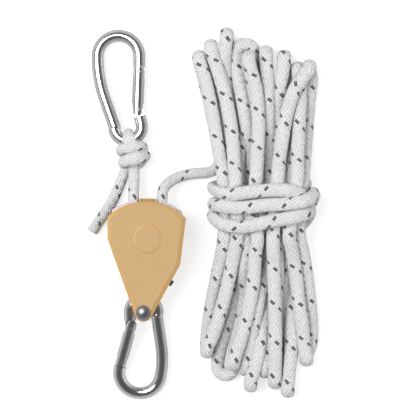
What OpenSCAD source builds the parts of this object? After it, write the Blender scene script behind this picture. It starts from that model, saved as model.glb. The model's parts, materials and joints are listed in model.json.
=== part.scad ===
// Rope ratchet hanger: a two-shell pulley block with a ratcheting rope sheave, a snap hook on
// each end of its load line, and the free rope folded into a tied hank.
// It lies flat: +Z is up from the surface, +Y runs from the block to the upper snap hook.
// The origin is on the rear cover's flat face, under the sheave's axle.  Millimetres.

/* [Block] */
// Overall thickness of the closed block
block_t = 24.4; // [23.4:0.2:27]
// Wall of the moulded covers
cover_wall = 2.0; // [1.6:0.1:2.4]
// Bevel round the outer edge of each cover
cover_bevel = 2.2; // [1:0.1:3]
// Height of the round boss over the axle
boss_h = 0.9; // [0.4:0.1:1.5]
// Gap between the two steel frame plates
frame_gap = 10.8; // [10.6:0.1:12]
// Thickness of each steel frame plate
plate_t = 1.2; // [1:0.1:1.6]

/* [Sheave] */
// Radius at which the rope's centre line rides
pitch_r = 8.25; // [8.2:0.05:8.4]
// Radius of the axle
axle_r = 3.0; // [2.5:0.1:3.2]
// Number of ratchet teeth
teeth = 12; // [12:12:12]
// Radius over the tips of the ratchet teeth
ratchet_tip_r = 14.8; // [14.4:0.1:15]
// Radius at the roots of the ratchet teeth
ratchet_root_r = 12.4; // [12:0.1:12.6]

/* [Rope] */
// Diameter of the braided rope
rope_d = 6.4; // [6:0.1:6.6]
// Diameter of the rope where it is squeezed round the hook
bight_d = 5.4; // [5:0.1:5.6]

/* [Hooks] */
// Radius of the hooks' round wire
wire_r = 3.5; // [3.3:0.1:3.6]
// Radius of the wide bow, to the middle of the wire
bow_r = 12.1; // [12:0.1:13.5]
// Radius of the small loop, to the middle of the wire
loop_r = 8.1; // [8:0.05:8.3]
// Distance from the small loop's centre to the bow's centre, upper hook
upper_span = 41.9; // [40:0.1:44]
// The same, lower hook
lower_span = 36.2; // [35:0.1:38]
// Straight nose below the bow on the gate's side, upper hook
upper_nose = 6.2; // [5:0.1:7]
// The same, lower hook
lower_nose = 1.6; // [1.2:0.1:2.5]

/* [Hidden] */
$fn = 64;

// Colours
tan_shell = [0.83, 0.69, 0.49];
tan_dark = [0.62, 0.50, 0.32];
zinc = [0.78, 0.79, 0.80];
steel = [0.62, 0.60, 0.62];
dark_steel = [0.40, 0.40, 0.42];
nylon = [0.20, 0.20, 0.21];
rope_white = [0.93, 0.93, 0.92];

// Clearances
running = 0.05;
play = 0.3;

// Heights, from the surface upwards
mid_z = block_t / 2;
rear_plate_z = mid_z - frame_gap / 2 - plate_t;
front_plate_z = mid_z + frame_gap / 2;
gap_low = mid_z - frame_gap / 2;
ring_t = 2.8;
ring_z = gap_low + play;
sheave_z = ring_z + ring_t;
sheave_t = frame_gap - 2 * play - ring_t;
rope_z = sheave_z + sheave_t / 2;

// Cover outline: two straight flanks, a crowned top and a round tip about the bottom rivet
rivet = [-2.3, -42.6];
tip_r = 5.2;
corner_left = [-23, 13];
flank_left = [-23, 0];
corner_right = [22.3, 12];
flank_right = [18.8, -15.3];
crown_c = [-1, -10.9];
crown_r = 32.5;
corner_round = 2.2;
crown_left = atan2(corner_left.y - crown_c.y, corner_left.x - crown_c.x);
crown_right = atan2(corner_right.y - crown_c.y, corner_right.x - crown_c.x);
tip_left = 199;
tip_right = 330;

// Openings in the skirts
skirt_end_left = -27;
skirt_end_right = -20;
crown_open_y = 8;

// Frame
plate_inset = cover_wall + 0.3;
plate_proud = 1.4;
divider_half = 4.6;
divider_low = 15.5;
divider_high = 23.3;
posts = [[-17.4, 5.5], [17.0, 5.5], [0, -25.6]];
post_r = 2.2;
post_shank_r = 1.5;
head_t = 1.2;

// Sheave
groove_r = rope_d / 2 + 0.2;
flange_r = 13.0;
hub_clear = running;

// Pawl
pawl_p = [8.0, -21.5];
pawl_t = 2.7;
pawl_pin_r = 1.6;
pawl_hub_r = 3.4;
pawl_nose_a = -40.9;
tooth_lean = 3.9;
tail_end = [14.3, -26.4];
tail_w = 3.4;
peg = [9.5, -14.6];
peg_r = 0.7;
spring_wire = 0.8;
spring_r = 2.6;
spring_turns = 5;

// Rivet
rivet_r = 2.5;
rivet_head_r = 4.35;
rivet_dome = 2.0;
sleeve_r = 3.6;

// Hook shape, in its own frame: the small loop's centre at the origin, the bow towards +Y,
// the gate on the +X side
bow_start = -8;
bow_end = 172;
lean = 11.5;
kink = [-7.7, 1.2];
kink_r = wire_r + 0.12;
seam_half = 0.4;
loop_start = 180;
loop_end = 366;
hinge = [6.9, 9.2];
neck_l = 4.4;
gate_gap = 0.5;
gate_pin_r = 1.0;
latch_pin_r = 0.9;
fork_half = 1.9;
eye_half = 1.6;
eye_r = 3.1;
slot_half = 1.5;
tongue_half = 1.2;
tongue_w = 2.4;
tongue_l = 4.6;
latch_back = 2.6;
spring_bore_r = 1.7;
spring_bore = [4.0, 15.0];

// Where the hooks lie: each leans down until its bow rests on the surface
upper_at = [-11.5, 64.8];
upper_yaw = 7.8;
upper_wire_z = bight_d / 2 + wire_r + play + bight_d / 2 + 0.5;
upper_pitch = asin((upper_wire_z - wire_r) / (loop_r + upper_span + bow_r));
upper_z = upper_wire_z - loop_r * sin(upper_pitch);
lower_yaw = 176.3;
lower_pitch = asin((mid_z - wire_r) / (lower_span + bow_r));

// Rope
rope_r = rope_d / 2;
port_y = 20.5;
rope_sides = 10;
knot_at = [-8.8, 46.6];
knot_d = 17.4;
knot_l = 12.4;
bight_ring_r = wire_r + play + bight_d / 2;
lead_route = [[-pitch_r, port_y, rope_z], [-8.2, 24, 13.2], [-8.1, 30, 11.0], [-8.1, 36, 9.4], [-8.2, 41, 8.7]];
tail_route = [[-14.0, 41, 5.0], [-15.0, 36, 3.8], [-17.0, 30, 3.2], [-20.6, 22, 3.2], [-25.4, 15, 3.2],
              [-29.2, 9.4, 3.2], [-31.9, 4.6, 3.2]];
run_route = [[pitch_r, port_y, rope_z], [8.4, 24, 13.3], [9.2, 28.6, 11.6], [12.1, 32.4, 8.8], [16.3, 35.0, 6.0],
             [22.3, 37.1, 3.9], [28.9, 38.1, 3.2], [37.0, 38.2, 3.2]];

// Hank outline, above and below its tied waist
hank_top = [[40, 34], [26.6, 106], [31, 111], [37, 117], [46, 123], [62, 117], [80, 111], [94, 105],
            [98, 99], [90.5, 34]];
hank_foot = [[41, 3.4], [31.8, -62], [35, -69], [45, -82], [59, -89.6], [81, -93.3], [90, -80],
             [97, -45], [90.5, 3.4]];
hank_h = 16;
waist_x = [41, 90.5];
waist_y = [3.4, 34];
wrap_x = [34.5, 97];
wrap_y = [4.2, 33.2];
waist_low = 6.6;
waist_high = 22.4;
wrap_top = 28.6;
hank_round = 2.5;

// ---- Helpers ----------------------------------------------------------------------------

function on_circle(c, r, a) = [c.x + r * cos(a), c.y + r * sin(a)];
function arc(c, r, from, to, n) = [for (i = [0:n]) on_circle(c, r, from + (to - from) * i / n)];

// A point on a smooth curve through four route points
function smooth_point(a, b, c, d, t) =
    0.5 * (2 * b + (c - a) * t + (2 * a - 5 * b + 4 * c - d) * t * t + (3 * b - a - 3 * c + d) * t * t * t);
function smooth_route(p, steps) = concat(
    [for (i = [0:len(p) - 2], j = [0:steps - 1])
        smooth_point(p[max(i - 1, 0)], p[i], p[i + 1], p[min(i + 2, len(p) - 1)], j / steps)],
    [p[len(p) - 1]]);
function unit(v) = v / norm(v);
function ring(at, along, r, sides) =
    let (side = unit(cross(along, [0, 0, 1])), up = cross(side, along))
    [for (k = [0:sides - 1]) at + r * (cos(360 * k / sides) * side + sin(360 * k / sides) * up)];

// A rope stretch: one tube swept along its route
module rope_tube(points, r = rope_r, sides = rope_sides, steps = 2) {
    path = smooth_route(points, steps);
    last = len(path) - 1;
    along = [for (i = [0:last]) unit(path[min(i + 1, last)] - path[max(i - 1, 0)])];
    rings = [for (i = [0:last]) each ring(path[i], along[i], r, sides)];
    skin = [for (i = [0:last - 1], k = [0:sides - 1])
        let (n = (k + 1) % sides)
        [i * sides + k, (i + 1) * sides + k, (i + 1) * sides + n, i * sides + n]];
    near = [for (k = [0:sides - 1]) k];
    far = [for (k = [0:sides - 1]) last * sides + sides - 1 - k];
    polyhedron(rings, concat(skin, [near], [far]));
}

// A straight round rod between two points of the hook's plane
module rod(p, q, r) {
    translate([p.x, p.y, 0]) rotate([0, 0, atan2(q.y - p.y, q.x - p.x)]) rotate([0, 90, 0])
        cylinder(h = norm(q - p), r = r);
}

// A bent round rod about a centre in the hook's plane
module bend(c, r, from, to, wire) {
    translate([c.x, c.y, 0]) rotate([0, 0, from]) rotate_extrude(angle = to - from, $fn = 96)
        translate([r, 0]) circle(r = wire);
}

// A hair-thin band over a seam of the wire, square to it
module collar(at, angle) {
    translate([at.x, at.y, 0]) rotate([0, 0, angle]) rotate([90, 0, 0]) translate([0, 0, -seam_half])
        cylinder(h = 2 * seam_half, r = wire_r + 0.03);
}

// ---- Block ------------------------------------------------------------------------------

function outline_points(crown, tip) = concat(
    arc(crown_c, crown_r + crown, crown_left, crown_right, 24),
    [flank_right],
    arc(rivet, tip, tip_right - 360, tip_left - 360, 16),
    [flank_left]);

module cover_outline() {
    offset(r = corner_round) offset(delta = -corner_round) polygon(outline_points(0, tip_r));
}

module plate_outline() {
    intersection() {
        union() {
            offset(delta = -plate_inset) polygon(outline_points(0, tip_r));
            intersection() {
                polygon(outline_points(plate_proud, tip_r));
                translate([-20.6, crown_open_y]) square([40.6, 20]);
            }
        }
        difference() {
            square(200, center = true);
            translate([-divider_half - 1.4, crown_c.y + crown_r - 0.8])
                square([2 * divider_half + 2.8, 10]);
        }
    }
}

// One cover, its flat outer face at z = 0 and its open side up
module cover_shell() {
    skirt_h = mid_z - 0.1;
    floor_t = 2.2;
    lip_h = rear_plate_z - 0.2;
    difference() {
        hull() {
            linear_extrude(0.1) offset(delta = -cover_bevel) cover_outline();
            translate([0, 0, cover_bevel]) linear_extrude(skirt_h - cover_bevel) cover_outline();
        }
        difference() {
            translate([0, 0, floor_t]) linear_extrude(skirt_h) offset(delta = -cover_wall) cover_outline();
            translate([rivet.x, rivet.y, -1]) cylinder(h = rear_plate_z + 0.9, r = tip_r + 0.4);
        }
        translate([-40, crown_open_y, lip_h]) cube([80, 30, 20]);
        translate([-40, -60, lip_h]) cube([40 - 4, 60 + skirt_end_left, 20]);
        translate([-4.1, -60, lip_h]) cube([40, 60 + skirt_end_right, 20]);
        translate([rivet.x, rivet.y, -1]) cylinder(h = 20, r = rivet_r + running);
    }
}

module front_cover() {
    color(tan_shell) union() {
        translate([0, 0, block_t]) mirror([0, 0, 1]) cover_shell();
        translate([0, 0, block_t - 0.2]) cylinder(h = 0.2 + boss_h / 2, r1 = 8.5, r2 = 8.1);
        translate([0, 0, block_t + boss_h / 2]) cylinder(h = boss_h / 2, r1 = 8.1, r2 = 7.0);
    }
}

module rear_cover() {
    color(tan_shell) difference() {
        cover_shell();
        translate([rivet.x, rivet.y, -1]) cylinder(h = 1 + head_t + 0.2, r = rivet_head_r + 0.1);
    }
}

module plate() {
    difference() {
        linear_extrude(plate_t) plate_outline();
        translate([0, 0, -1]) cylinder(h = 4, r = axle_r + running);
        translate([rivet.x, rivet.y, -1]) cylinder(h = 4, r = rivet_r + running);
        translate([pawl_p.x, pawl_p.y, -1]) cylinder(h = 4, r = pawl_pin_r + running);
        for (p = posts) translate([p.x, p.y, -1]) cylinder(h = 4, r = post_shank_r + running);
    }
}

module front_plate() { color(steel) translate([0, 0, front_plate_z]) plate(); }

module rear_plate() { color(steel) translate([0, 0, rear_plate_z]) plate(); }

module rope_divider() {
    color(tan_dark) translate([0, 0, gap_low + 0.05]) linear_extrude(frame_gap - 0.1) difference() {
        translate([-divider_half, divider_low]) square([2 * divider_half, divider_high - divider_low]);
        for (s = [-1, 1]) translate([s * (divider_half + 1.6), divider_low - 1.2]) circle(r = 3.2);
    }
}

module frame_posts() {
    color(zinc) for (p = posts) translate([p.x, p.y, 0]) {
        translate([0, 0, gap_low]) cylinder(h = frame_gap, r = post_r);
        translate([0, 0, rear_plate_z - head_t]) cylinder(h = block_t - 2 * (rear_plate_z - head_t), r = post_shank_r);
        translate([0, 0, rear_plate_z - head_t]) cylinder(h = head_t, r1 = post_r * 0.8, r2 = post_r);
        translate([0, 0, front_plate_z + plate_t]) cylinder(h = head_t, r1 = post_r, r2 = post_r * 0.8);
    }
}

// ---- Sheave, ratchet and pawl -----------------------------------------------------------

module sheave() {
    color(nylon) translate([0, 0, sheave_z]) difference() {
        cylinder(h = sheave_t, r = flange_r);
        translate([0, 0, sheave_t / 2]) rotate_extrude($fn = 96) union() {
            translate([pitch_r, 0]) circle(r = groove_r);
            translate([pitch_r, -groove_r]) square([20, 2 * groove_r]);
        }
        translate([0, 0, -1]) cylinder(h = sheave_t + 2, r = axle_r + hub_clear);
    }
}

module ratchet_ring() {
    pitch = 360 / teeth;
    color(dark_steel) translate([0, 0, ring_z]) linear_extrude(ring_t - 0.05) difference() {
        polygon([for (k = [0:teeth - 1]) each
            let (a = pawl_nose_a + 0.9 + k * pitch)
            [on_circle([0, 0], ratchet_root_r, a), on_circle([0, 0], ratchet_tip_r, a + tooth_lean),
             on_circle([0, 0], (ratchet_tip_r + ratchet_root_r) / 2, a + (pitch + tooth_lean) / 2)]]);
        circle(r = axle_r + hub_clear);
    }
}

module sheave_axle() {
    low = rear_plate_z - head_t;
    color(zinc) union() {
        translate([0, 0, low]) cylinder(h = block_t - 2 * low, r = axle_r);
        translate([0, 0, low]) cylinder(h = head_t, r = axle_r + 1.6);
        translate([0, 0, block_t - low - head_t]) cylinder(h = head_t, r = axle_r + 1.6);
    }
}

module axle_washers() {
    t = play - 0.1;
    color(zinc) for (z = [gap_low + 0.05, mid_z + frame_gap / 2 - t - 0.05]) translate([0, 0, z]) difference() {
        cylinder(h = t, r = axle_r + 1.8);
        translate([0, 0, -1]) cylinder(h = 3, r = axle_r + running);
    }
}

module pawl() {
    nose_in = on_circle([0, 0], ratchet_root_r + 0.4, pawl_nose_a);
    nose_out = on_circle([0, 0], ratchet_tip_r + 0.9, pawl_nose_a + tooth_lean - 0.2);
    color(steel) translate([0, 0, ring_z]) difference() {
        union() {
            linear_extrude(pawl_t) union() {
                polygon([nose_in, nose_out, [11.3, -20.2], [9.0, -23.0], [5.4, -22.6], [4.9, -20.2],
                         [7.1, -14.2], [8.0, -11.9]]);
                translate(pawl_p) circle(r = pawl_hub_r);
                translate(pawl_p) rotate(atan2(tail_end.y - pawl_p.y, tail_end.x - pawl_p.x))
                    translate([0, -tail_w / 2]) square([norm(tail_end - pawl_p), tail_w]);
            }
            translate([peg.x, peg.y, 0]) cylinder(h = pawl_t + 2.4, r = peg_r);
        }
        translate([pawl_p.x, pawl_p.y, -1]) cylinder(h = pawl_t + 2, r = pawl_pin_r + running);
    }
}

module pawl_pin() {
    low = rear_plate_z - 0.8;
    color(zinc) translate([pawl_p.x, pawl_p.y, low]) union() {
        cylinder(h = block_t - 2 * low, r = pawl_pin_r);
        cylinder(h = 0.8, r = pawl_pin_r + 1);
        translate([0, 0, block_t - 2 * low - 0.8]) cylinder(h = 0.8, r = pawl_pin_r + 1);
    }
}

module pawl_spring() {
    w = spring_wire / 2;
    leg = 0.9 * w;
    z0 = ring_z + pawl_t + w + 0.2;
    pitch = spring_wire * 0.95;
    post = posts[2];
    color(zinc) union() {
        translate([pawl_p.x, pawl_p.y, z0]) rotate_extrude($fn = 48) for (k = [0:spring_turns - 1])
            translate([spring_r, k * pitch]) circle(r = w, $fn = 16);
        translate([0, 0, z0]) rod([pawl_p.x + spring_r, pawl_p.y], [peg.x + peg_r + w + 0.3, peg.y + 0.6], leg);
        translate([0, 0, z0 + (spring_turns - 1) * pitch])
            rod([pawl_p.x, pawl_p.y - spring_r], [post.x - 0.6, post.y - post_r - w - 0.85], leg);
    }
}

// ---- Bottom rivet -----------------------------------------------------------------------

module bottom_rivet() {
    dome_ball = (rivet_head_r * rivet_head_r + rivet_dome * rivet_dome) / (2 * rivet_dome);
    color(zinc) translate([rivet.x, rivet.y, 0]) union() {
        translate([0, 0, 0.1]) cylinder(h = block_t, r = rivet_r);
        translate([0, 0, 0.1]) cylinder(h = head_t, r = rivet_head_r);
        intersection() {
            translate([0, 0, block_t + rivet_dome - dome_ball]) sphere(r = dome_ball, $fn = 96);
            translate([0, 0, block_t + 0.02]) cylinder(h = rivet_dome + 1, r = rivet_head_r);
        }
    }
}

module rivet_sleeve() {
    color(steel) translate([rivet.x, rivet.y, gap_low + 0.1]) difference() {
        cylinder(h = frame_gap - 0.2, r = sleeve_r);
        translate([0, 0, -1]) cylinder(h = frame_gap + 2, r = rivet_r + running);
    }
}

// ---- Snap hooks -------------------------------------------------------------------------

function nose_end(span, nose) = on_circle([0, span], bow_r, bow_start) - nose * [-sin(bow_start), cos(bow_start)];
function gate_length(span, nose) = norm(nose_end(span, nose) - hinge) - gate_gap;
function gate_angle(span, nose) =
    let (d = nose_end(span, nose) - hinge) atan2(d.y, d.x) - 90;

// Frame of the gate: the hinge pin at the origin, the latch towards +Y
module on_gate(span, nose) {
    translate([hinge.x, hinge.y, 0]) rotate([0, 0, gate_angle(span, nose)]) children();
}

// The bent wire: nose, bow, shoulder, bar, small loop, and the flat ends for latch and hinge
module hook_wire(span, nose) {
    bow = [0, span];
    away = [-cos(lean), -sin(lean)];
    start = [cos(bow_end), sin(bow_end)];
    shoulder_r = (away * (kink - bow) - bow_r * (away * start)) / (1 - away * start);
    shoulder_c = bow + (bow_r - shoulder_r) * start;
    bar_top = shoulder_c + shoulder_r * away;
    loop_top = on_circle([0, 0], loop_r, loop_end);
    onward = [-sin(loop_end), cos(loop_end)];
    low = loop_top + (neck_l - 1.2) * onward;
    length = gate_length(span, nose);
    difference() {
        union() {
            bend(bow, bow_r, bow_start, bow_end, wire_r);
            collar(on_circle(bow, bow_r, bow_start), bow_start);
            collar(on_circle(bow, bow_r, bow_end), bow_end);
            collar(bar_top, lean);
            bend(shoulder_c, shoulder_r, bow_end, 180 + lean, wire_r);
            rod(bar_top, kink, wire_r);
            translate([kink.x, kink.y, 0]) sphere(r = kink_r, $fn = 48);
            bend([0, 0], loop_r, loop_start, loop_end, wire_r);
            collar(loop_top, loop_end);
            rod(loop_top, loop_top + neck_l * onward, wire_r);
            rod(on_circle(bow, bow_r, bow_start), nose_end(span, nose), wire_r);
            translate([0, 0, -eye_half]) linear_extrude(2 * eye_half) union() {
                translate(hinge) circle(r = eye_r);
                polygon([hinge + [-eye_r, 0], hinge + [eye_r, 0], low + [2.6, 0], low + [-2.6, 0]]);
            }
            on_gate(span, nose) translate([-tongue_w, length - tongue_l, -tongue_half])
                cube([2 * tongue_w, tongue_l + gate_gap + 1, 2 * tongue_half]);
        }
        translate([hinge.x, hinge.y, -5]) cylinder(h = 10, r = gate_pin_r + running);
        on_gate(span, nose) translate([0, length - latch_back, -2]) {
            cylinder(h = 4, r = latch_pin_r + 0.15);
            translate([-5, -latch_pin_r - 0.15, 0]) cube([5, 2 * latch_pin_r + 0.3, 4]);
        }
    }
}

module gate_bar(span, nose) {
    length = gate_length(span, nose);
    on_gate(span, nose) difference() {
        union() {
            rotate([-90, 0, 0]) cylinder(h = length, r = wire_r);
            intersection() {
                rotate([90, 0, 0]) cylinder(h = wire_r, r = wire_r);
                translate([0, 0, -5]) cylinder(h = 10, r = wire_r);
            }
        }
        translate([-5, -5, -fork_half]) cube([10, 5 + spring_bore[0], 2 * fork_half]);
        translate([-5, length - tongue_l - 1, -slot_half]) cube([10, tongue_l + 2, 2 * slot_half]);
        translate([0, spring_bore[0] - 0.5, 0]) rotate([-90, 0, 0])
            cylinder(h = spring_bore[1] - spring_bore[0] + 0.5, r = spring_bore_r);
        translate([0, 0, -5]) cylinder(h = 10, r = gate_pin_r + 0.01);
        translate([0, length - latch_back, -5]) cylinder(h = 10, r = latch_pin_r + 0.01);
    }
}

module hinge_pin(span, nose) {
    on_gate(span, nose) translate([0, 0, -3.2]) cylinder(h = 6.4, r = gate_pin_r, $fn = 32);
}

module latch_pin(span, nose) {
    on_gate(span, nose) translate([0, gate_length(span, nose) - latch_back, -3.1])
        cylinder(h = 6.2, r = latch_pin_r, $fn = 32);
}

module gate_spring(span, nose) {
    wire = 0.4;
    first = spring_bore[0] + 0.6;
    turns = 13;
    on_gate(span, nose) translate([0, first, 0]) rotate([-90, 0, 0]) rotate_extrude($fn = 32)
        for (k = [0:turns - 1]) translate([spring_bore_r - wire - 0.1, k * 1.9 * wire]) circle(r = wire, $fn = 16);
}

module at_upper() {
    translate([upper_at.x, upper_at.y, upper_z]) rotate([0, 0, upper_yaw]) rotate([-upper_pitch, 0, 0]) children();
}

module at_lower() {
    translate([rivet.x, rivet.y, mid_z]) rotate([0, 0, lower_yaw]) rotate([-lower_pitch, 0, 0]) children();
}

module upper_hook() { color(zinc) at_upper() hook_wire(upper_span, upper_nose); }
module upper_gate() { color(zinc) at_upper() gate_bar(upper_span, upper_nose); }
module upper_gate_pin() { color(steel) at_upper() hinge_pin(upper_span, upper_nose); }
module upper_latch_pin() { color(steel) at_upper() latch_pin(upper_span, upper_nose); }
module upper_gate_spring() { color(steel) at_upper() gate_spring(upper_span, upper_nose); }
module lower_hook() { color(zinc) at_lower() hook_wire(lower_span, lower_nose); }
module lower_gate() { color(zinc) at_lower() gate_bar(lower_span, lower_nose); }
module lower_gate_pin() { color(steel) at_lower() hinge_pin(lower_span, lower_nose); }
module lower_latch_pin() { color(steel) at_lower() latch_pin(lower_span, lower_nose); }
module lower_gate_spring() { color(steel) at_lower() gate_spring(lower_span, lower_nose); }

// ---- Rope -------------------------------------------------------------------------------

module rope_over_sheave() {
    color(rope_white) translate([0, 0, rope_z]) union() {
        rotate([0, 0, 180]) rotate_extrude(angle = 180, $fn = 96) translate([pitch_r, 0]) circle(r = rope_r);
        for (s = [-1, 1]) translate([s * pitch_r, 0, 0]) rotate([-90, 0, 0]) cylinder(h = port_y, r = rope_r);
    }
}

module rope_lead() { color(rope_white) rope_tube(lead_route); }
module rope_tail() { color(rope_white) rope_tube(tail_route); }
module rope_run() { color(rope_white) rope_tube(run_route); }

// The tied knot: a fat barrel along the rope
module rope_knot() {
    flat = knot_d / 2 - 3;
    color(rope_white) translate([knot_at.x, knot_at.y - knot_l / 2, knot_d / 2]) rotate([-90, 0, 0])
        rotate_extrude() union() {
            square([flat, knot_l]);
            translate([0, 3]) square([knot_d / 2, knot_l - 6]);
            for (y = [3, knot_l - 3]) translate([flat, y]) circle(r = 3);
        }
}

// The rope's turn round the wire of the upper hook
module rope_bight() {
    wire_at = upper_at + loop_r * cos(upper_pitch) * [sin(upper_yaw), -cos(upper_yaw)];
    wrap = 128;
    color(rope_white) translate([wire_at.x, wire_at.y, upper_wire_z]) rotate([0, 0, upper_yaw])
        rotate([-upper_pitch, 0, 0]) rotate([0, 90, 0]) rotate([0, 0, 90 - wrap])
        rotate_extrude(angle = 2 * wrap, $fn = 64) translate([bight_ring_r, 0]) circle(r = bight_d / 2, $fn = 32);
}

module hank_lobe(points, h) {
    linear_extrude(h) offset(r = hank_round) offset(delta = -hank_round) polygon(points);
}

module rope_hank() {
    color(rope_white) union() {
        hank_lobe(hank_top, hank_h);
        hank_lobe(hank_foot, hank_h);
        translate([waist_x[0], waist_y[0] - 4, waist_low])
            cube([waist_x[1] - waist_x[0], waist_y[1] - waist_y[0] + 8, waist_high - waist_low]);
    }
}

module wrap_section(x0, x1, z0, z1, round) {
    translate([x0 + round, z0 + round]) square([x1 - x0 - 2 * round, z1 - z0 - 2 * round]);
    translate([x0, z0 + round]) square([x1 - x0, z1 - z0 - 2 * round]);
    translate([x0 + round, z0]) square([x1 - x0 - 2 * round, z1 - z0]);
    for (x = [x0 + round, x1 - round], z = [z0 + round, z1 - round]) translate([x, z]) circle(r = round);
}

// Three turns of the rope's own end round the waist
module rope_wraps() {
    color(rope_white) translate([0, wrap_y[1], 0]) rotate([90, 0, 0]) linear_extrude(wrap_y[1] - wrap_y[0])
        difference() {
            wrap_section(wrap_x[0], wrap_x[1], 0, wrap_top, 6);
            translate([waist_x[0] - 0.1, waist_low - 0.1])
                square([waist_x[1] - waist_x[0] + 0.2, waist_high - waist_low + 0.2]);
        }
}

front_cover();
rear_cover();
front_plate();
rear_plate();
rope_divider();
frame_posts();
sheave();
ratchet_ring();
sheave_axle();
axle_washers();
pawl();
pawl_pin();
pawl_spring();
bottom_rivet();
rivet_sleeve();
upper_hook();
upper_gate();
upper_gate_pin();
upper_latch_pin();
upper_gate_spring();
lower_hook();
lower_gate();
lower_gate_pin();
lower_latch_pin();
lower_gate_spring();
rope_over_sheave();
rope_lead();
rope_knot();
rope_bight();
rope_tail();
rope_run();
rope_hank();
rope_wraps();
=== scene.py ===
# %% [markdown]
# # A rope ratchet hanger
# The hanger is a tan pulley block with a snap hook at its tip and a second snap hook tied to its
# rope. The rest of the white rope is folded into a hank. The block's frame, hooks and inner parts
# come from the CAD model; this lesson adds the rope, the moulded covers, the bright hooks and
# every finish.

# %% Load the frame
import json
import math

import bmesh
import bpy
import numpy as np
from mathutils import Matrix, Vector


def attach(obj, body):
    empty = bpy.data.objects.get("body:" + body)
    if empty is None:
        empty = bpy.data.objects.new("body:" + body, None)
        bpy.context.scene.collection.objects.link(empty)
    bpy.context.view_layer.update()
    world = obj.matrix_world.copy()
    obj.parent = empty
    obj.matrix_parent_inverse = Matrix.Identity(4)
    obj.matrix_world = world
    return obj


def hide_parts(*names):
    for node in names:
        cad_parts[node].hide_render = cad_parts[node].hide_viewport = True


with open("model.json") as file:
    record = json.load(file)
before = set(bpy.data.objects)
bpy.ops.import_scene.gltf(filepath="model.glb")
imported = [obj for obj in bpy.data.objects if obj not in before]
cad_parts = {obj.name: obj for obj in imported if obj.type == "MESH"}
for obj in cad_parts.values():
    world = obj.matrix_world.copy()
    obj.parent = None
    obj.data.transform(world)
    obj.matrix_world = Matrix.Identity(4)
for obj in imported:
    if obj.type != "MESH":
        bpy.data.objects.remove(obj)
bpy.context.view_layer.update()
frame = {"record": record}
MM = 0.001

# %% [markdown]
# ## Camera
# The hanger lies on a table and is seen from straight above. Through a short lens the tall hank
# would look larger than the flat hooks beside it. A long lens, two metres up, keeps both at nearly
# the same scale.

# %% Camera
VIEW_WIDTH = 241.3 * MM
VIEW_CENTRE = (35.0 * MM, 17.8 * MM)
FOCUS_HEIGHT = 12 * MM
LENS = 300.0
SENSOR = 36.0

camera_data = bpy.data.cameras.new("camera")
camera_data.lens = LENS
camera_data.sensor_width = SENSOR
camera = bpy.data.objects.new("camera", camera_data)
camera.location = (*VIEW_CENTRE, VIEW_WIDTH * LENS / SENSOR + FOCUS_HEIGHT)
bpy.context.scene.collection.objects.link(camera)
bpy.context.scene.camera = camera
print("camera height", round(camera.location.z, 3))

# %% [markdown]
# ## Rope
# A braided rope has a length and a thickness that never change, so it is made as one tube that
# is swept along a route. The route's points are few. A smooth curve runs
# through them, and is cut into even steps, so that the braid's pattern keeps its size.

# %% A smooth line through a few points
ROPE_D = 6.4
ROPE_R = ROPE_D / 2


def knot_gap(a, b):
    """Share of the curve's parameter between two points: the root of their distance."""
    return max(np.linalg.norm(b - a), 1e-6) ** 0.5


def smooth_line(points, step):
    """Centripetal curve through the points, cut into even steps. Millimetres."""
    p = np.array(points, float)
    p = np.vstack([2 * p[0] - p[1], p, 2 * p[-1] - p[-2]])
    line = []
    for a, b, c, d in zip(p[:-3], p[1:-2], p[2:-1], p[3:]):
        t0 = 0.0
        t1 = t0 + knot_gap(a, b)
        t2 = t1 + knot_gap(b, c)
        t3 = t2 + knot_gap(c, d)
        samples = max(4, int(np.linalg.norm(c - b) / step * 2))
        for t in np.linspace(t1, t2, samples, endpoint=False):
            ab = a + (b - a) * (t - t0) / (t1 - t0)
            bc = b + (c - b) * (t - t1) / (t2 - t1)
            cd = c + (d - c) * (t - t2) / (t3 - t2)
            abc = ab + (bc - ab) * (t - t0) / (t2 - t0)
            bcd = bc + (cd - bc) * (t - t1) / (t3 - t1)
            line.append(abc + (bcd - abc) * (t - t1) / (t2 - t1))
    line.append(p[-2])
    line = np.array(line)
    walked = np.concatenate([[0], np.cumsum(np.linalg.norm(np.diff(line, axis=0), axis=1))])
    count = max(2, int(round(walked[-1] / step)))
    even = np.linspace(0, walked[-1], count + 1)
    return np.column_stack([np.interp(even, walked, line[:, k]) for k in range(3)])


def length_of(line):
    return float(np.linalg.norm(np.diff(line, axis=0), axis=1).sum())


# %% [markdown]
# A ring of points rides along the line. It keeps its wide axis nearly level, so that a rope which
# is pressed flat lies flat, and nothing goes below the table. Each end is closed by two smaller
# rings and a cap. The UV map holds the turn round the rope and the distance along it.

# %% A tube swept along a line
LEVELLING = 0.9
END_RINGS = ((0.35, 1.0), (0.8, 0.65))


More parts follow.
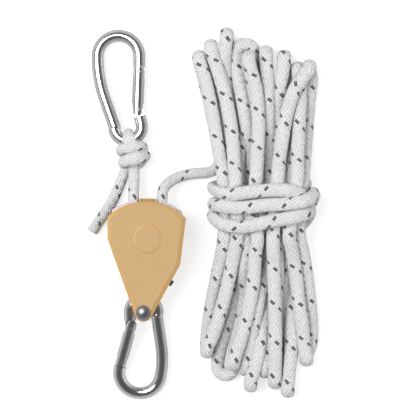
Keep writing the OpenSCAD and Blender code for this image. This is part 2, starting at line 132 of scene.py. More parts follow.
def tube(name, line, radius, sides, wide=None, flat=None, dome=0.6):
    """Closed round tube. wide and flat scale each ring sideways and upwards."""
    count = len(line)
    along = np.gradient(line, axis=0)
    along /= np.linalg.norm(along, axis=1)[:, None]
    side = np.cross(along[0], (0, 0, 1))
    side /= np.linalg.norm(side)
    angles = np.arange(sides) / sides * 2 * math.pi
    verts, distance, walked = [], [], 0.0
    wide = np.ones(count) if wide is None else wide
    flat = np.ones(count) if flat is None else flat

    def add_ring(at, side, up, size, k):
        for a in angles:
            x, y, z = at + size * radius * (math.cos(a) * side * wide[k]
                                            + math.sin(a) * up * flat[k])
            verts.append((x * MM, y * MM, max(z, 0.0) * MM))

    for k in range(count):
        side[2] *= LEVELLING
        side = side - along[k] * np.dot(side, along[k])
        side /= np.linalg.norm(side)
        up = np.cross(side, along[k])
        if k:
            walked += np.linalg.norm(line[k] - line[k - 1])
        if k == 0:
            for size, back in END_RINGS:
                add_ring(line[0] - along[0] * back * dome, side, up, size, 0)
                distance.append(-back * dome)
        add_ring(line[k], side, up, 1.0, k)
        distance.append(walked)
        if k == count - 1:
            for size, ahead in reversed(END_RINGS):
                add_ring(line[k] + along[k] * ahead * dome, side, up, size, k)
                distance.append(walked + ahead * dome)
    n_rings = len(distance)
    faces, uvs = [], []
    for i in range(n_rings - 1):
        for k in range(sides):
            n = (k + 1) % sides
            faces.append((i * sides + k, i * sides + n, (i + 1) * sides + n, (i + 1) * sides + k))
            uvs += [(k / sides, distance[i]), ((k + 1) / sides, distance[i]),
                    ((k + 1) / sides, distance[i + 1]), (k / sides, distance[i + 1])]
    faces.append(tuple(reversed(range(sides))))
    uvs += [(k / sides, distance[0]) for k in reversed(range(sides))]
    faces.append(tuple((n_rings - 1) * sides + k for k in range(sides)))
    uvs += [(k / sides, distance[-1]) for k in range(sides)]
    mesh = bpy.data.meshes.new(name)
    mesh.from_pydata(verts, [], faces)
    layer = mesh.uv_layers.new(name="rope")
    layer.data.foreach_set("uv", np.array(uvs, float).ravel())
    mesh.shade_smooth()
    piece = bpy.data.objects.new(name, mesh)
    bpy.context.scene.collection.objects.link(piece)
    bm = bmesh.new()
    bm.from_mesh(mesh)
    if bm.calc_volume(signed=True) < 0:
        bmesh.ops.reverse_faces(bm, faces=bm.faces)
        bm.to_mesh(mesh)
    bm.free()
    print(name, n_rings, "rings,", n_rings * sides * 2, "triangles,",
          round(length_of(line), 1), "mm long")
    return piece


# %% [markdown]
# ## The hank
# The free rope leaves the block on the right, runs to the hank and folds up and down eighteen
# times. Most folds stand on edge, so that from above their two legs lie one over the other, and
# two are laid flat. Each fold is told by its outermost point, the heights at which the rope
# comes in and goes out, and the points of its two legs, from the fold to the waist.

# %% The run from the block to the hank
RUN = [
    (8.25, 20.5, 13.65), (8.4, 24, 13.3), (9.2, 28.6, 11.6), (12.1, 32.4, 8.8), (16.3, 35.0, 6.0),
    (22.3, 37.1, 3.9), (28.9, 38.1, 3.2), (35.4, 38.6, 3.2), (40.4, 42.0, 3.2), (41.4, 50.0, 3.2)]

# %% Folds above the waist
TOP = {
    "T1": ((29.9, 107.1), 3.2, 9.4,
         [(34.0, 88, 3.2), (38.9, 64, 3.2)],
         [(33.6, 92, 9.4), (37.2, 75, 9.6), (41.0, 51.3, 12.5), (43.4, 36, 18.6)]),
    "T2": ((36.8, 113.5), 9.4, 3.2,
         [(40.5, 100, 9.6), (44.0, 88.3, 9.8), (48.4, 66.1, 10.5), (50.6, 43.9, 14.5),
          (51.4, 34, 18.8)],
         [(39.2, 100, 3.2), (41.4, 88, 3.2), (43.4, 76, 3.2), (45.8, 60, 3.6), (48.5, 44, 6.5),
          (50.0, 34, 10.0)]),
    "T3": ((45.9, 120.2), 8.6, 3.2,
         [(45.2, 110, 8.6), (45.4, 98, 5.0), (47.2, 84, 3.2), (49.6, 68, 3.3), (54.0, 52, 3.6),
          (56.5, 34, 9.8)],
         [(46.8, 108, 3.2), (48.8, 94, 3.2), (52.8, 78, 3.2), (54.0, 60, 3.4), (52.8, 46, 8.0),
          (52.5, 34, 14.5)]),
    "T5": ((58.6, 106.3), 14.2, 8.4,
         [(59.8, 98, 14.0), (62.5, 88.3, 13.4), (64.3, 69.8, 12.8), (63.9, 51.3, 14.5),
          (63.2, 36, 19.5)],
         [(59.4, 98, 8.2), (61.6, 84, 7.2), (63.3, 66, 6.8), (63.2, 50, 9.0), (62.6, 34, 14.6)]),
    "T4": ((56.6, 113.2), 5.0, 4.0,
         [(51.6, 103, 5.4), (52.6, 92, 6.4), (54.6, 80, 7.0), (56.5, 66, 6.5), (57.3, 50, 6.0),
          (57.3, 34, 9.6)],
         [(62.3, 100, 3.4), (63.8, 90, 3.3), (66.0, 66, 3.2), (68.2, 50, 4.5), (68.8, 34, 9.8)]),
    "T6": ((68.6, 109.8), 9.2, 3.2,
         [(69.1, 100, 9.2), (69.9, 88.3, 9.0), (70.7, 69.8, 7.6), (70.2, 51.3, 5.4),
          (69.3, 34, 9.6)],
         [(68.9, 98, 3.2), (70.6, 80, 3.2), (73.5, 60, 3.2), (75.0, 45, 5.5), (74.8, 34, 9.8)]),
    "T7": ((79.5, 107.2), 3.2, 9.4,
         [(80.6, 95, 3.2), (80.2, 80, 3.2), (80.5, 60, 3.2), (81.0, 45, 5.5), (81.0, 34, 9.8)],
         [(78.5, 98, 9.4), (77.0, 88, 8.6), (75.6, 77, 6.6), (75.6, 62, 6.2), (76.0, 46, 9.0),
          (76.4, 34, 14.2)]),
    "T9": ((93.9, 101.6), 10.2, 4.0,
         [(91.6, 95.8, 10.4), (88.4, 91, 11.8), (85.2, 86.5, 12.4), (81.0, 73.5, 12.8),
          (78.2, 58, 13.4), (76.2, 44, 15.6), (75.6, 36, 19.0)],
         [(95.0, 94, 4.0), (93.6, 80, 3.4), (92.3, 62, 4.4), (91.2, 48, 8.0), (90.4, 36, 14.0)]),
    "T8": ((87.0, 100.2), 7.0, 3.2,
         [(87.6, 93, 5.4), (88.6, 84, 6.4), (88.2, 74, 9.0), (87.5, 60, 11.5), (87.0, 47, 14.5),
          (87.0, 34, 19.6)],
         [(86.4, 92, 3.2), (85.8, 80, 3.2), (84.5, 62, 3.6), (83.2, 46, 8.0), (82.6, 34, 14.4)]),
}
print(len(TOP), "folds above the waist")

# %% Folds below the waist
FOOT = {
    "B1": ((34.3, -67.0), 3.2, 9.3,
         [(34.9, -52, 3.4), (37.9, -32.9, 5.5), (41.6, -14.5, 11.0), (44.0, 2, 18.6)],
         [(37.6, -57, 9.3), (43.0, -40.3, 10.0), (46.7, -25.5, 11.5), (49.7, -10.8, 14.5),
          (52.2, 2, 18.8)]),
    "B2": ((46.6, -79.4), 3.2, 3.2,
         [(43.4, -62, 3.2), (47.5, -50, 3.2), (51.9, -37, 3.2), (55.4, -22, 3.4),
          (57.3, -8, 5.5), (57.6, 2, 9.4)],
         [(53.5, -62, 3.2), (56.2, -48, 3.2), (58.8, -30, 3.6), (60.6, -12, 9.0), (61.0, 2, 14.2)]),
    "B3": ((50.6, -74.0), 14.0, 8.6,
         [(52.0, -66, 14.0), (55.6, -55, 13.8), (59.3, -40.3, 13.5), (61.5, -25.5, 13.8),
          (62.6, -8, 16.5), (63.6, 2, 19.4)],
         [(53.8, -64, 8.8), (57.6, -50, 8.6), (61.5, -34, 6.5), (63.0, -15, 6.5), (62.8, 2, 9.6)]),
    "B4": ((57.2, -77.3), 3.2, 8.6,
         [(58.2, -66, 3.2), (61.4, -48, 3.2), (64.5, -28, 3.4), (66.5, -10, 8.0), (65.8, 2, 14.4)],
         [(59.6, -64, 8.6), (62.5, -46, 8.0), (65.0, -26, 6.0), (66.6, -8, 7.0), (66.4, 2, 9.6)]),
    "B5": ((58.9, -86.6), 9.2, 3.2,
         [(60.3, -78, 9.2), (62.6, -70, 9.0), (64.9, -60, 8.4), (67.0, -48, 6.5),
          (68.6, -34, 4.0), (69.8, -15, 4.0), (70.0, 2, 9.4)],
         [(61.0, -76, 3.2), (65.0, -60, 3.2), (70.0, -44, 3.2), (72.5, -28, 3.4),
          (72.5, -10, 8.5), (71.2, 2, 14.4)]),
    "B6": ((67.4, -78.5), 3.2, 8.2,
         [(69.0, -66, 3.2), (71.6, -48, 3.2), (75.0, -28, 3.3), (76.0, -10, 5.0), (75.0, 2, 9.6)],
         [(69.6, -66, 8.2), (72.6, -48, 8.0), (74.8, -28, 8.0), (75.4, -10, 10.0),
          (75.0, 2, 14.4)]),
    "B7": ((73.0, -84.7), 3.2, 9.6,
         [(74.4, -74, 3.2), (76.8, -56, 3.2), (79.2, -34, 3.2), (79.5, -12, 7.0), (78.4, 2, 14.2)],
         [(73.2, -74, 9.8), (73.7, -58.8, 12.0), (73.7, -36.6, 13.4), (73.3, -14.5, 15.5),
          (73.0, 2, 19.4)]),
    "B9": ((92.2, -71.6), 3.6, 9.4,
         [(94.8, -61, 3.8), (95.2, -50, 4.5), (94.0, -36.6, 6.0), (92.3, -21.8, 8.5),
          (89.9, -7, 12.5), (88.0, 2, 16.0)],
         [(91.0, -64, 9.4), (89.5, -51.4, 10.0), (87.3, -36.6, 11.0), (85.6, -20, 12.5),
          (83.3, -7, 15.5), (81.6, 2, 19.2)]),
    "B8": ((81.3, -90.0), 9.2, 3.2,
         [(82.0, -78, 9.2), (82.9, -66, 8.6), (82.8, -52, 7.0), (81.7, -34, 4.6),
          (80.4, -14, 4.6), (80.0, 2, 9.6)],
         [(82.2, -76, 3.2), (84.6, -56, 3.2), (86.6, -34, 3.2), (87.0, -12, 5.5), (86.0, 2, 9.6)]),
}
ORDER = ["T1", "B1", "T2", "B2", "T3", "B3", "T5", "B4", "T4",
         "B5", "T6", "B6", "T7", "B7", "T9", "B9", "T8", "B8"]
FLAT_FOLDS = {"T4": (5.0, 0.95), "B2": (5.2, 1.0)}
print(len(FOOT), "folds below the waist")


# %% The bend of one fold
def fold_bend(name, tip, z_in, z_out):
    """Points of the bend: stood on edge, or laid flat where the fold is a wide one."""
    x, y = tip
    way = 1 if y > 0 else -1
    points = []
    if name in FLAT_FOLDS:
        half, deep = FLAT_FOLDS[name]
        for turned in (0, 40, 90, 140, 180):
            share = turned / 180
            points.append((x - half * math.cos(math.radians(turned)),
                           y - way * half * deep * (1 - math.sin(math.radians(turned))),
                           z_in * (1 - share) + z_out * share))
        return points
    middle, rise = (z_in + z_out) / 2, (z_out - z_in) / 2
    for turned in (-90, -45, 0, 45, 90):
        points.append((x, y - way * abs(rise) * (1 - math.cos(math.radians(turned))),
                       middle + rise * math.sin(math.radians(turned))))
    return points


# %% [markdown]
# The rope's end then makes three turns round the bundle. At the right the first turn is tucked
# under the second, which is why the turns there are not parallel. The end is pushed in below.

# %% Turns round the waist
WRAPS = [
    (87.6, 14, 9.6), (89.6, 26, 10.5), (92.6, 32, 9.0), (89.5, 34.6, 4.2), (80, 35.0, 3.2),
    (66, 34.5, 3.2), (50, 32.5, 3.2), (41, 30.5, 6.0), (37.8, 29.2, 13), (39.8, 27.6, 20.8),
    (46.9, 25.6, 25.4), (59.6, 27.1, 26.2), (71.5, 28.0, 26.2), (80, 27.8, 25.6),
    (86.6, 25.6, 22.0), (89.4, 23.4, 16), (89.2, 21.8, 9.8), (87.0, 20.9, 5.2), (80, 20.6, 3.2),
    (62, 20.4, 3.2), (48, 20.0, 3.2), (40.6, 19.8, 6.5), (37.5, 19.7, 13), (39.7, 19.3, 20.6),
    (46, 18.3, 25.2), (54, 17.8, 26.2), (66.4, 19.4, 26.3), (80, 20.4, 26.0), (88.6, 22.2, 24.6),
    (91.6, 24.6, 19.8), (93.0, 26.0, 13), (93.0, 23.8, 6.6), (91.0, 19.6, 3.4), (86.5, 15.2, 3.2),
    (78, 13.6, 3.2), (62, 13.2, 3.2), (48, 13.4, 3.2), (40.6, 14.0, 6.5), (37.4, 13.8, 13),
    (38.8, 11.6, 20.2), (43.4, 8.6, 24.8), (55.3, 7.1, 26.0), (69.8, 10.0, 26.2),
    (83.4, 12.6, 25.2), (90.6, 14.8, 21.6), (93.0, 17.0, 16.2), (93.6, 17.8, 10.8),
    (92.4, 13.8, 5.0), (87.5, 8.2, 3.2), (76, 6.6, 3.2), (64, 7.0, 3.2), (56, 8.6, 3.3)]

# %% The whole route
PLAN_STEP = 2.9

route = list(RUN)
for name in ORDER:
    tip, z_in, z_out, leg_in, leg_out = (TOP | FOOT)[name]
    route += leg_in[::-1] + fold_bend(name, tip, z_in, z_out) + leg_out
route += WRAPS
planned = smooth_line(route, PLAN_STEP)
print("planned route", len(route), "points,", round(length_of(planned)), "mm")

# %% [markdown]
# Ropes that are only drawn run through each other. So the planned line is settled: where two
# stretches are nearer than the rope is thick, both are pushed apart, mostly up and down, and the
# shift is spread along the rope so that no kink appears. Nothing may sink into the table.

# %% Settle the rope
OVAL = np.array((1.13, 1.13, 0.93))
PUSH = (0.6, 0.35, 0.95)
SPRING_BACK = (0.985, 0.985, 0.997)
EASE = 0.9
HELD_POINTS, FREED_OVER = 14, 20.0
SETTLE_GAP, SETTLE_ROUNDS = 6.0, 90


def settle(line, gap, rounds, beside=5):
    """Push apart all stretches that are nearer than gap. The end at the block stays put."""
    shift = np.zeros_like(line)
    count = len(line)
    index = np.arange(count)
    hold = np.clip((index - HELD_POINTS) / FREED_OVER, 0, 1)[:, None]
    lowest = min(ROPE_R, line[:, 2].min())
    for _ in range(rounds):
        now = (line + shift) / OVAL
        square = (now ** 2).sum(axis=1)
        near = square[:, None] + square[None, :] - 2 * now @ now.T < gap * gap
        a, b = np.nonzero(near)
        keep = b - a > beside
        a, b = a[keep], b[keep]
        between = now[a] - now[b]
        apart = np.maximum(np.linalg.norm(between, axis=1), 0.05)
        push = between / apart[:, None] * ((gap - apart) * 0.5)[:, None] * PUSH
        total = np.zeros_like(line)
        hits = np.zeros(count)
        np.add.at(total, a, push)
        np.add.at(total, b, -push)
        np.add.at(hits, a, 1)
        np.add.at(hits, b, 1)
        shift += total / np.maximum(hits, 1)[:, None] * EASE
        shift *= SPRING_BACK
        for _ in range(2):
            shift[1:-1] = shift[1:-1] * 0.5 + (shift[:-2] + shift[2:]) * 0.25
        shift *= hold
        shift[:, 2] = np.maximum(line[:, 2] + shift[:, 2], lowest) - line[:, 2]
    return line + shift


FREE_STEP = 1.45

settled = settle(planned, SETTLE_GAP, SETTLE_ROUNDS)
free_line = smooth_line(settled, FREE_STEP)
free_line[:, 2] = np.maximum(free_line[:, 2], ROPE_R)
moved = np.linalg.norm(settled - planned, axis=1)
print("moved", round(float(moved.mean()), 2), "mm on average, most", round(float(moved.max()), 1),
      "highest", round(float(free_line[:, 2].max() + ROPE_R), 1))

# %% [markdown]
# The run from the block is round. Inside the bundle the rope is pressed, so it becomes wider and
# lower over the first stretch of the hank.

# %% The free rope's tube
ROUND_RUN, PRESSED_OVER = 50, 40

walked = np.arange(len(free_line)) * FREE_STEP
pressed = np.clip((walked - ROUND_RUN) / PRESSED_OVER, 0, 1)
free_rope = tube("free_rope", free_line, ROPE_R, 22,
                 wide=1 + 0.23 * pressed, flat=1 - 0.12 * pressed)

# %% [markdown]
# ## The tied end
# The load line leaves the block on the left and runs up through its own knot. It passes under
# the wire of the upper hook and back over it, and lies there flat and fanned out. Then it makes
# two turns round itself, the lower one wide and slanting, and leaves as a short cut tail.

# %% Load line with its knot
LEAD = [
    (-8.25, 20.5, 13.65), (-8.2, 24, 13.2), (-8.1, 30, 11.4), (-8.0, 36, 9.6), (-8.1, 42, 8.4),
    (-8.9, 48, 6.6), (-10.0, 53, 4.6)]
HOOK_WIRE = (-10.7, 56.75, 9.7)
BIGHT_R = 4.9
YAW = math.radians(7.8)
YAW_SHARE = 0.4
LOAD_STEP = 1.0
turn_over = []
for turned in (-75, -45, -15, 15, 45, 75, 100):
    out = BIGHT_R * math.cos(math.radians(turned))
    turn_over.append((HOOK_WIRE[0] - out * math.sin(YAW) * YAW_SHARE, HOOK_WIRE[1] + out,
                      HOOK_WIRE[2] + BIGHT_R * math.sin(math.radians(turned))))
FAN = [
    (-9.9, 53.4, 13.2), (-9.4, 51.0, 10.2), (-7.6, 48.6, 7.6), (-5.2, 47.2, 5.4),
    (-6.2, 46.6, 3.9), (-10.0, 47.4, 3.2)]
UPPER_TURN = [
    (-14.0, 49.6, 5.0), (-15.4, 51.4, 9.6), (-13.0, 52.4, 14.2), (-8.6, 53.2, 15.8),
    (-4.6, 53.6, 13.6), (-3.0, 52.6, 9.0), (-5.0, 49.2, 4.6), (-10.0, 45.8, 3.2)]
LOWER_TURN = [
    (-13.8, 44.0, 5.6), (-14.2, 44.6, 10.0), (-12.4, 45.2, 14.4), (-8.2, 46.1, 16.4),
    (-4.0, 47.2, 14.8), (-1.5, 48.2, 10.4), (-2.4, 47.0, 5.8), (-5.2, 43.8, 4.0),
    (-9.2, 42.0, 3.6)]
TAIL = [
    (-12.6, 40.0, 3.8), (-14.6, 36.0, 3.8), (-16.6, 31, 3.5), (-20.4, 22.5, 3.2),
    (-24.8, 15.4, 3.2), (-29.0, 9.4, 3.2), (-32.4, 4.2, 3.2)]
load_line = smooth_line(LEAD + turn_over + FAN + UPPER_TURN + LOWER_TURN + TAIL, LOAD_STEP)
load_line[:, 2] = np.maximum(load_line[:, 2], ROPE_R)

# %% [markdown]
# The rope changes its section where it is pulled hard. It fans out over the hook's wire and on
# the slanting turn, and is pinched where it bends round the wire.


# %% The load rope's tube
def about(line, spot, reach):
    """1 at a spot, falling off to 0 over reach."""
    return np.exp(-(np.linalg.norm(line - np.array(spot), axis=1) / reach) ** 2)


fan = about(load_line, (-10.6, 57.2, 14.8), 3.0)
slant = about(load_line, (-7.6, 46.2, 16.4), 5.5)
pinch = about(load_line, (-10.7, 61.0, 9.7), 5.0)
load_rope = tube("load_rope", load_line, ROPE_R, 28,
                 wide=1 + 0.35 * fan + 0.25 * slant - 0.12 * pinch,
                 flat=1 - 0.16 * fan - 0.1 * slant - 0.26 * pinch)

# %% [markdown]
# Inside the block the rope makes half a turn round the sheave, from one opening to the other.

# %% Rope round the sheave
GROOVE_R = 8.25
ROPE_HEIGHT = 13.65
OPENING_Y = 20.4

half_turn = [(-GROOVE_R * math.cos(math.radians(a)), -GROOVE_R * math.sin(math.radians(a)),
              ROPE_HEIGHT) for a in range(0, 181, 20)]
inner_turn = ([(-GROOVE_R, OPENING_Y, ROPE_HEIGHT), (-GROOVE_R, 10, ROPE_HEIGHT)] + half_turn
              + [(GROOVE_R, 10, ROPE_HEIGHT), (GROOVE_R, OPENING_Y, ROPE_HEIGHT)])
inner_rope = tube("sheave_rope", smooth_line(inner_turn, 1.2), ROPE_R, 20, dome=0.05)

# %% [markdown]
# The three stretches are hung on the block's root, and the CAD nodes that stood for them are
# hidden. The stretch round the sheave stays a fixed piece.

for piece, node_names in ((free_rope, ("rope_run", "rope_hank", "rope_wraps")),
                          (load_rope, ("rope_lead", "rope_knot", "rope_bight", "rope_tail")),
                          (inner_rope, ("rope_over_sheave",))):
    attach(piece, "root")
    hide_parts(*node_names)

# %% [markdown]
# ## Finishes
# A small class lets shader maths be written as plain sums: each operator adds one Math node. Any
# other node comes from one method, which takes a number, a colour or a wire for each input.


# %% Shader helpers
class Wire:
    """One socket of a node tree, with arithmetic."""

    def __init__(self, nodes, socket):
        self.nodes = nodes
        self.socket = socket

    def math(self, operation, *others):
        places = {f"i{place}": value for place, value in enumerate((self, *others))}
        return self.nodes.node("ShaderNodeMath", {"operation": operation}, **places)

    def __add__(self, other):
        return self.math("ADD", other)

    __radd__ = __add__

    def __sub__(self, other):
        return self.math("SUBTRACT", other)

    def __rsub__(self, other):
        return (self * -1) + other

    def __mul__(self, other):
        return self.math("MULTIPLY", other)

    __rmul__ = __mul__

    def __truediv__(self, other):
        return self.math("DIVIDE", other)

    def floor(self):
        return self.math("FLOOR")

    def part(self):
        return self.math("FRACT")

    def wrap(self, size):
        """The rest after a whole number of sizes, never below nought."""
        return self - (self / size).floor() * size

    def below(self, limit):
        return self.math("LESS_THAN", limit)

    def power(self, exponent):
        return self.math("POWER", exponent)

    def clamp(self):
        return self.nodes.node("ShaderNodeClamp", Value=self)


class Nodes:
    """A node tree, and its shader that the finished values go to."""

    def __init__(self, owner, shader, **fixed):
        owner.use_nodes = True
        self.tree = owner.node_tree
        self.shader = self.tree.nodes[shader]
        self.drive(**fixed)

    def feed(self, socket, value):
        if isinstance(value, Wire):
            self.tree.links.new(value.socket, socket)
        else:
            socket.default_value = value

    def node(self, kind, settings=None, output=0, **inputs):
        """Add a node. An input is given by its name, or as i and its number."""
        node = self.tree.nodes.new(kind)
        for key, value in (settings or {}).items():
            setattr(node, key, value)
        for key, value in inputs.items():
            numbered = key[0] == "i" and key[1:].isdigit()
            self.feed(node.inputs[int(key[1:]) if numbered else key.replace("_", " ")], value)
        return Wire(self, node.outputs[output])

    def drive(self, **inputs):
        for key, value in inputs.items():
            self.feed(self.shader.inputs[key.replace("_", " ")], value)

    def part_of(self, vector, axis):
        """One axis, X, Y or Z, of a vector."""
        return self.node("ShaderNodeSeparateXYZ", output=axis, Vector=vector)

    def noise(self, scale, detail):
        place = self.node("ShaderNodeTexCoord", output="Object")
        return self.node("ShaderNodeTexNoise", Scale=scale, Detail=detail, Vector=place)

    def mix(self, share, low, high):
        """Colours low and high, by share from 0 to 1."""
        return self.node("ShaderNodeMix", {"data_type": "RGBA"}, output=2,
                         i0=share, i6=low, i7=high)


class Finish(Nodes):
    """A material."""

    def __init__(self, name, **fixed):
        self.material = bpy.data.materials.new(name)
        super().__init__(self.material, "Principled BSDF", **fixed)

    def bump(self, height, strength, distance):
        self.drive(Normal=self.node("ShaderNodeBump", Height=height, Strength=strength,
                                    Distance=distance))


# %% [markdown]
# ### Braided rope
# Ten yarns wind one way and ten the other, each passing over two and under two. The piece's
# UV map has the turn round the rope in U and the distance along it in V. One yarn of the first
# set is dark grey, and shows as short slanting flecks wherever it comes to the top.

# %% Rope finish
YARNS = 10
LAY = 21.5
TRACER_WIDE = 1.12
TRACER_LONG = 1.9
TRACER_START = 0.6

rope = Finish("braided_rope", Roughness=0.82, Sheen_Weight=0.35, Sheen_Roughness=0.5)
uv = rope.node("ShaderNodeUVMap", {"uv_map": "rope"})
turn = rope.part_of(uv, "X") * YARNS
rise = rope.part_of(uv, "Y") * (YARNS / LAY)
right_yarn = turn - rise
left_yarn = turn + rise
over = (right_yarn.floor() - left_yarn.floor()).wrap(4).below(1.5)
right_across = right_yarn.part() * 2 - 1
left_across = left_yarn.part() * 2 - 1
right_crown = 1 - right_across * right_across
left_crown = 1 - left_across * left_across
crown = (over * right_crown + (1 - over) * left_crown).clamp()
tracer = (right_yarn.wrap(YARNS).below(TRACER_WIDE)
          * (TRACER_START - left_yarn).wrap(4).below(TRACER_LONG))
fuzz = rope.noise(900.0, 2.0)
patch = rope.noise(60.0, 2.0)
# Each yarn is light at its crown and darker towards its edges: painted shade in the valleys between
# the yarns, over the rope's own white. Random dirty patches are laid over that.
valley_shaded = rope.mix(crown.power(0.7), (0.45, 0.45, 0.45, 1), (0.67, 0.67, 0.665, 1))
soiled_and_shaded = rope.mix((patch - 0.45).clamp() * 0.5, valley_shaded, (0.60, 0.60, 0.60, 1))
rope.drive(Base_Color=rope.mix(tracer * 0.92, soiled_and_shaded, (0.055, 0.055, 0.062, 1)))
rope.bump(crown + fuzz * 0.3, 0.75, 0.0005)
for piece in (free_rope, load_rope, inner_rope):
    piece.data.materials.append(rope.material)

# %% [markdown]
# ### Metals and plastics
# Metal varies a little in roughness and has faint spots and grain. A moulding is slightly cloudy,
# with a fine grain that breaks up its highlights.


# %% Metal and plastic finishes
def metal(name, colour, roughness, grain=0.0, wear=0.15):
    finish = Finish(name, Metallic=1.0)
    spots = finish.noise(55.0, 4.0)
    fine = finish.noise(420.0, 2.0)
    finish.drive(Base_Color=finish.mix((spots - 0.4).clamp() * wear * 4, (*colour, 1),
                                       (*[c * 0.72 for c in colour], 1)),
                 Roughness=(spots * 0.35 + 0.8) * roughness)
    finish.bump(fine, 0.12 + grain, 0.00004)
    return finish.material


def plastic(name, colour, cloudy, roughness, rim_highlight=None):
    """A moulding. Where the surface leans over, at a rim or a wall, it is painted a lighter colour:
    a painted highlight, as where a rounded rim catches the light.
    """
    finish = Finish(name, Specular_IOR_Level=0.45)
    cloud = finish.noise(38.0, 4.0)
    grain = finish.noise(700.0, 3.0)
    shade = finish.mix((cloud * 1.4 - 0.3).clamp(), (*colour, 1), (*cloudy, 1))
    # Painted highlight: the more the surface leans, the more its colour turns to the lighter one,
    # as if lit from the sides.
    if rim_highlight:
        up = finish.part_of(finish.node("ShaderNodeTexCoord", output="Normal"), "Z")
        leaning = ((1 - up * up) * 5.0).clamp()
        shade = finish.mix(leaning, shade, (*rim_highlight, 1))
    finish.drive(Base_Color=shade, Roughness=cloud * 0.12 + roughness)
    finish.bump(grain, 0.25, 0.0001)
    return finish.material


finishes = {
    # The tan shell's second, lighter tan is a painted highlight on its rims and walls.
    "tan_shell": plastic("tan_moulding", (0.42, 0.27, 0.115), (0.46, 0.298, 0.135), 0.40,
                         rim_highlight=(0.55, 0.335, 0.13)),
    # The rope guide is the same tan nylon as the covers, painted darker: painted shade, as it sits
    # deep between the covers.
    "tan_inner": plastic("shaded_tan_moulding", (0.33, 0.20, 0.06), (0.37, 0.23, 0.08), 0.5),
    "frame_steel": metal("frame_steel", (0.50, 0.47, 0.51), 0.42),
    "zinc_wire": metal("zinc_plate", (0.72, 0.72, 0.73), 0.3),
    "chrome_wire": metal("bright_wire", (0.80, 0.80, 0.81), 0.15, wear=0.05),
    "polished_steel": metal("polished_steel", (0.36, 0.355, 0.36), 0.40),
    "hardened_steel": metal("blackened_steel", (0.25, 0.25, 0.27), 0.38),
    "black_nylon": plastic("black_nylon", (0.03, 0.03, 0.032), (0.045, 0.045, 0.048), 0.5),
}
slot_of = {row["node"]: row["material_slot"] for row in frame["record"]["subparts"]}
for node, name in slot_of.items():
    if name in finishes:
        piece = bpy.data.objects[node]
        piece.data.materials.clear()
        piece.data.materials.append(finishes[name])
print(len(slot_of), "nodes finished")

# %% [markdown]
# ### Moulded covers
# A moulding has no sharp edge. The CAD covers have a plain slant along their rim, so each cover is
# copied, its loose triangles are joined, and a bevel of several steps rounds every rim.

# %% Round the covers' rims
RIM_WIDTH = 0.75 * MM
RIM_STEPS = 4


def rounded_copy(node, name):
    bpy.ops.object.select_all(action="DESELECT")
    piece = bpy.data.objects[node].copy()
    piece.data = piece.data.copy()
    piece.name = name
    bpy.context.scene.collection.objects.link(piece)
    piece.select_set(True)
    bpy.context.view_layer.objects.active = piece
    bpy.ops.object.mode_set(mode="EDIT")
    bpy.ops.mesh.select_all(action="SELECT")
    bpy.ops.mesh.remove_doubles(threshold=0.00001)
    bpy.ops.mesh.dissolve_limited(angle_limit=math.radians(0.6))
    bpy.ops.object.mode_set(mode="OBJECT")
    rim = piece.modifiers.new("rim", "BEVEL")
    rim.width = RIM_WIDTH
    rim.segments = RIM_STEPS
    rim.limit_method = "ANGLE"
    rim.angle_limit = math.radians(24)
    bpy.ops.object.modifier_apply(modifier="rim")
    bpy.ops.object.shade_smooth_by_angle(angle=math.radians(40))
    flat = piece.modifiers.new("flat", "WEIGHTED_NORMAL")
    flat.keep_sharp = True
    flat.weight = 90
    bpy.ops.object.modifier_apply(modifier="flat")
    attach(piece, "root")
    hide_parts(node)
    piece.data.materials.clear()
    piece.data.materials.append(finishes["tan_shell"])
    print(name, len(piece.data.polygons), "faces")


rounded_copy("front_cover", "front_moulding")
rounded_copy("rear_cover", "rear_moulding")

# %% [markdown]
# ## Studio
# Three soft lamps light a white floor: one above, and one at each side. Bright wire shows what
# surrounds it, so the floor is white to the eye but grey in reflections, and the side lamps don't
# show in them. That keeps the wire's dark edges.

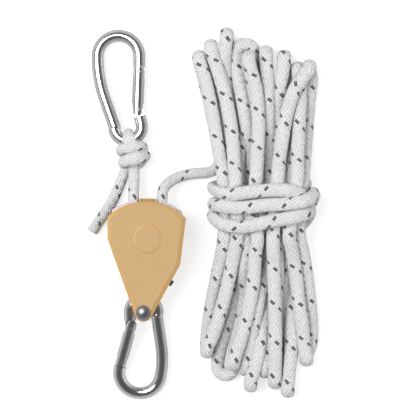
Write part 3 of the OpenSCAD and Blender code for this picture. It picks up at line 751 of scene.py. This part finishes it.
# %% Floor and lights
bpy.ops.object.select_all(action="DESELECT")
bpy.ops.mesh.primitive_plane_add(size=3.0, location=(VIEW_CENTRE[0], VIEW_CENTRE[1], -0.0002))
floor = bpy.context.object
floor.name = "floor"
floor_finish = Finish("pale_floor", Roughness=0.9, Emission_Strength=0.66)
mirrored = floor_finish.node("ShaderNodeLightPath", output="Is Glossy Ray")
scattered = floor_finish.node("ShaderNodeLightPath", output="Is Diffuse Ray")
pale = floor_finish.mix(scattered, (1, 1, 1, 1), (0.3, 0.3, 0.3, 1))
lit = floor_finish.mix(mirrored, (0.42, 0.42, 0.42, 1), (0.1, 0.1, 0.1, 1))
floor_finish.drive(Base_Color=lit,
                   Emission_Color=floor_finish.mix(mirrored, pale, (0.62, 0.62, 0.63, 1)))
floor.data.materials.append(floor_finish.material)


def soft_light(name, place, size, power, mirrored=True):
    data = bpy.data.lights.new(name, "AREA")
    data.shape = "RECTANGLE"
    data.size, data.size_y = size
    data.energy = power
    light = bpy.data.objects.new(name, data)
    light.location = place
    aim = Vector((*VIEW_CENTRE, 0.0)) - Vector(place)
    light.rotation_euler = aim.to_track_quat("-Z", "Y").to_euler()
    light.visible_glossy = mirrored
    bpy.context.scene.collection.objects.link(light)


soft_light("left", (-0.85, 0.1, 0.95), (0.7, 1.3), 8.5, mirrored=False)
soft_light("right", (0.95, -0.1, 0.9), (0.6, 1.3), 11.0, mirrored=False)
soft_light("above", (-0.52, 0.35, 1.3), (0.9, 0.9), 16.5)

# %% [markdown]
# The air glows near the horizon and is dark overhead, which gives the wire its shading from edge
# to middle. It adds less to dull surfaces, so that the gaps between the strands stay dark.

# %% Air
OVERHEAD = 0.09
HORIZON = 0.75
FALL_OFF = 1.9
DULL_LOSS = 0.7

world = bpy.data.worlds.new("studio")
bpy.context.scene.world = world
air = Nodes(world, "Background", Color=(0.97, 0.98, 1.0, 1))
height = air.part_of(air.node("ShaderNodeTexCoord", output="Generated"), "Z")
dull = air.node("ShaderNodeLightPath", output="Is Diffuse Ray")
air.drive(Strength=((1 - height).clamp().power(FALL_OFF) * HORIZON + OVERHEAD)
          * (1 - dull * DULL_LOSS))
bpy.context.scene.view_settings.view_transform = "Standard"
